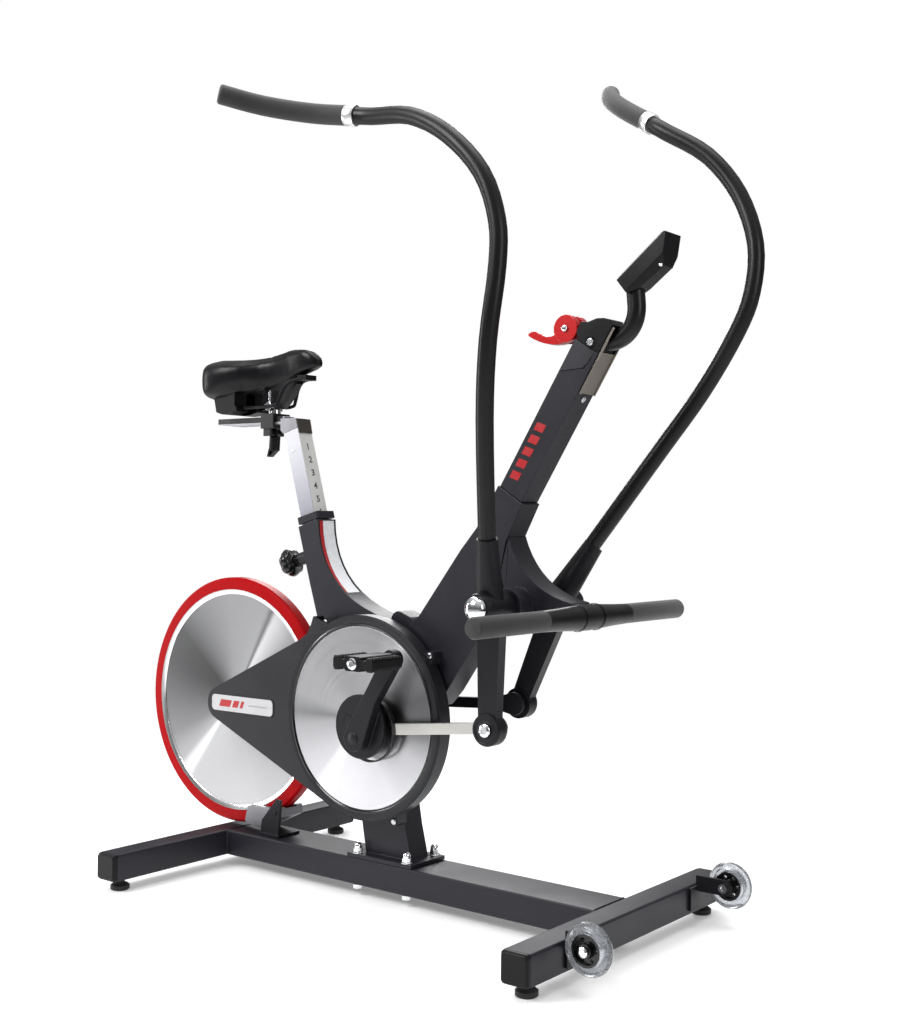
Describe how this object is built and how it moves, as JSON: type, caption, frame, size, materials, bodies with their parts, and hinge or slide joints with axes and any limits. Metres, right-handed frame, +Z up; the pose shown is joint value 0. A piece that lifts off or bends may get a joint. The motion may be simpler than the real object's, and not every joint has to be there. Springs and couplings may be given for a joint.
{
  "type": "air bike",
  "caption": "Upright exercise bike with swinging bent arms, a large flywheel behind a round drive cover, an adjustable saddle and a flat H-shaped base.",
  "frame": {"origin": "on the floor, in the middle of the machine's length and width at rest", "axes": "+X forward, the way the rider faces; +Y to the rider's left; +Z up"},
  "size_m": [1.3212, 0.6936, 1.5628],
  "materials": {
    "frame_paint": "satin powder coat, charcoal",
    "black_paint": "gloss black powder coat",
    "black_plastic": "fine grained moulding",
    "rubber": "matt",
    "foam": "closed-cell foam",
    "chrome": "polished",
    "machined_steel": "machined",
    "brushed_alu": "radially brushed",
    "red_rim": "gloss",
    "wheel_urethane": "smoke translucent",
    "hub_plastic": "gloss",
    "nickel": "satin nickel",
    "red_plastic": "gloss",
    "saddle_vinyl": "soft vinyl",
    "belt_rubber": "matt"
  },
  "bodies": {
    "base": {"base_frame": "frame_paint", "base_caps": "black_plastic", "wheel_brackets": "black_paint", "wheel_bolts": "chrome", "frame_core": "frame_paint", "base_fasteners": "chrome", "seat_tube": "frame_paint", "seat_collar": "black_plastic", "mast_lower": "frame_paint", "mast_upper": "frame_paint", "flywheel_stays": "frame_paint", "drive_cover": "black_plastic", "cover_disc": "brushed_alu", "frame_screws": "chrome", "drive_belt": "belt_rubber", "flywheel_bearings": "machined_steel", "brake_bracket": "black_paint", "mast_head": "black_plastic", "mast_plate": "nickel", "console_stem": "black_paint", "console_body": "black_plastic", "bar_bracket": "frame_paint", "foot_bar": "black_paint", "foot_grips": "foam", "arm_shaft": "chrome"},
    "rear_right_foot": {"foot_rear_right": "rubber"},
    "rear_left_foot": {"foot_rear_left": "rubber"},
    "front_right_foot": {"foot_front_right": "rubber"},
    "front_left_foot": {"foot_front_left": "rubber"},
    "right_wheel": {"wheel_tyre_right": "wheel_urethane", "wheel_hub_right": "hub_plastic"},
    "left_wheel": {"wheel_tyre_left": "wheel_urethane", "wheel_hub_left": "hub_plastic"},
    "crank": {"crank_axle": "machined_steel", "crank_arm_right": "black_paint", "crank_arm_left": "black_paint", "drive_pulley": "black_plastic"},
    "idler": {"idler_pulley": "machined_steel"},
    "flywheel": {"flywheel_disc": "brushed_alu", "flywheel_rim": "red_rim", "flywheel_axle": "machined_steel"},
    "right_pedal": {"pedal_right": "black_plastic"},
    "left_pedal": {"pedal_left": "black_plastic"},
    "right_arm": {"arm_casting_right": "black_paint", "arm_tube_right": "black_paint", "arm_grip_right": "foam"},
    "left_arm": {"arm_casting_left": "black_paint", "arm_tube_left": "black_paint", "arm_grip_left": "foam"},
    "right_rod": {"rod_right": "machined_steel"},
    "left_rod": {"rod_left": "machined_steel"},
    "magnets": {"magnet_carriage": "machined_steel"},
    "shifter": {"shifter_lever": "red_plastic"},
    "post": {"seat_post": "brushed_alu", "slider_bar": "machined_steel"},
    "seat": {"seat_carriage": "machined_steel", "saddle_frame": "black_plastic", "saddle": "saddle_vinyl"},
    "seat_clamp": {"seat_lever": "black_plastic"},
    "knob": {"height_knob": "black_plastic"}
  },
  "joints": [
    {"name": "crank_spin", "type": "hinge", "parent": "base", "child": "crank", "pos_m": [-0.0098, 0, 0.34], "axis": [0, 1, 0], "continuous": true},
    {"name": "flywheel_spin", "type": "hinge", "parent": "base", "child": "flywheel", "pos_m": [-0.4078, 0, 0.333], "axis": [0, 1, 0], "continuous": true},
    {"name": "idler_spin", "type": "hinge", "parent": "base", "child": "idler", "pos_m": [-0.3121, -0.048, 0.30397], "axis": [0, 1, 0], "continuous": true},
    {"name": "pedal_right_spin", "type": "hinge", "parent": "crank", "child": "right_pedal", "pos_m": [0.1069, -0.175, 0.46085], "axis": [0, 1, 0], "continuous": true},
    {"name": "pedal_left_spin", "type": "hinge", "parent": "crank", "child": "left_pedal", "pos_m": [-0.1265, 0.175, 0.21915], "axis": [0, 1, 0], "continuous": true},
    {"name": "right_arm_swing", "type": "hinge", "parent": "base", "child": "right_arm", "pos_m": [0.3202, 0, 0.563], "axis": [0, 1, 0], "range_deg": [-1, 24]},
    {"name": "left_arm_swing", "type": "hinge", "parent": "base", "child": "left_arm", "pos_m": [0.3202, 0, 0.563], "axis": [0, 1, 0], "range_deg": [-24, 1]},
    {"name": "rod_right_turn", "type": "hinge", "parent": "right_arm", "child": "right_rod", "pos_m": [0.3184, -0.1, 0.35701], "axis": [0, 1, 0], "range_deg": [-22, 1]},
    {"name": "rod_left_turn", "type": "hinge", "parent": "left_arm", "child": "left_rod", "pos_m": [0.23806, 0.1, 0.37409], "axis": [0, 1, 0], "range_deg": [-1, 22]},
    {"name": "seat_height", "type": "slide", "parent": "base", "child": "post", "axis": [-0.2756, 0, 0.9613], "range_m": [-0.12, 0.04]},
    {"name": "saddle_slide", "type": "slide", "parent": "post", "child": "seat", "axis": [1, 0, 0], "range_m": [-0.06, 0.015]},
    {"name": "seat_lever_turn", "type": "hinge", "parent": "seat", "child": "seat_clamp", "pos_m": [-0.3118, 0, 0.884], "axis": [0, 1, 0], "range_deg": [-8, 35]},
    {"name": "height_knob_pull", "type": "slide", "parent": "base", "child": "knob", "axis": [-0.9613, 0, -0.2756], "range_m": [0, 0.012]},
    {"name": "shifter_turn", "type": "hinge", "parent": "base", "child": "shifter", "pos_m": [0.40777, 0, 1.03803], "axis": [0, 1, 0], "range_deg": [-10, 45]},
    {"name": "brake_turn", "type": "hinge", "parent": "base", "child": "magnets", "pos_m": [-0.2578, 0, 0.122], "axis": [0, 1, 0], "range_deg": [-1, 3]},
    {"name": "wheel_right_spin", "type": "hinge", "parent": "base", "child": "right_wheel", "pos_m": [0.6002, -0.23, 0.074], "axis": [0, 1, 0], "continuous": true},
    {"name": "wheel_left_spin", "type": "hinge", "parent": "base", "child": "left_wheel", "pos_m": [0.6002, 0.23, 0.074], "axis": [0, 1, 0], "continuous": true},
    {"name": "foot_rear_right_turn", "type": "hinge", "parent": "base", "child": "rear_right_foot", "pos_m": [-0.4078, -0.3, 0.02], "axis": [0, 0, 1], "continuous": true},
    {"name": "foot_rear_left_turn", "type": "hinge", "parent": "base", "child": "rear_left_foot", "pos_m": [-0.4078, 0.3, 0.02], "axis": [0, 0, 1], "continuous": true},
    {"name": "foot_front_right_turn", "type": "hinge", "parent": "base", "child": "front_right_foot", "pos_m": [0.5202, -0.276, 0.02], "axis": [0, 0, 1], "continuous": true},
    {"name": "foot_front_left_turn", "type": "hinge", "parent": "base", "child": "front_left_foot", "pos_m": [0.5202, 0.276, 0.02], "axis": [0, 0, 1], "continuous": true}
  ],
  "couplings": [
    {"joint": "flywheel_spin", "follows": "crank_spin", "ratio": 10},
    {"joint": "idler_spin", "follows": "crank_spin", "ratio": 9.3333},
    {"joint": "left_arm_swing", "follows": "right_arm_swing", "ratio": -1},
    {"joint": "rod_right_turn", "follows": "right_arm_swing", "ratio": -0.89},
    {"joint": "rod_left_turn", "follows": "right_arm_swing", "ratio": 0.89},
    {"joint": "brake_turn", "follows": "shifter_turn", "ratio": 0.06}
  ]
}
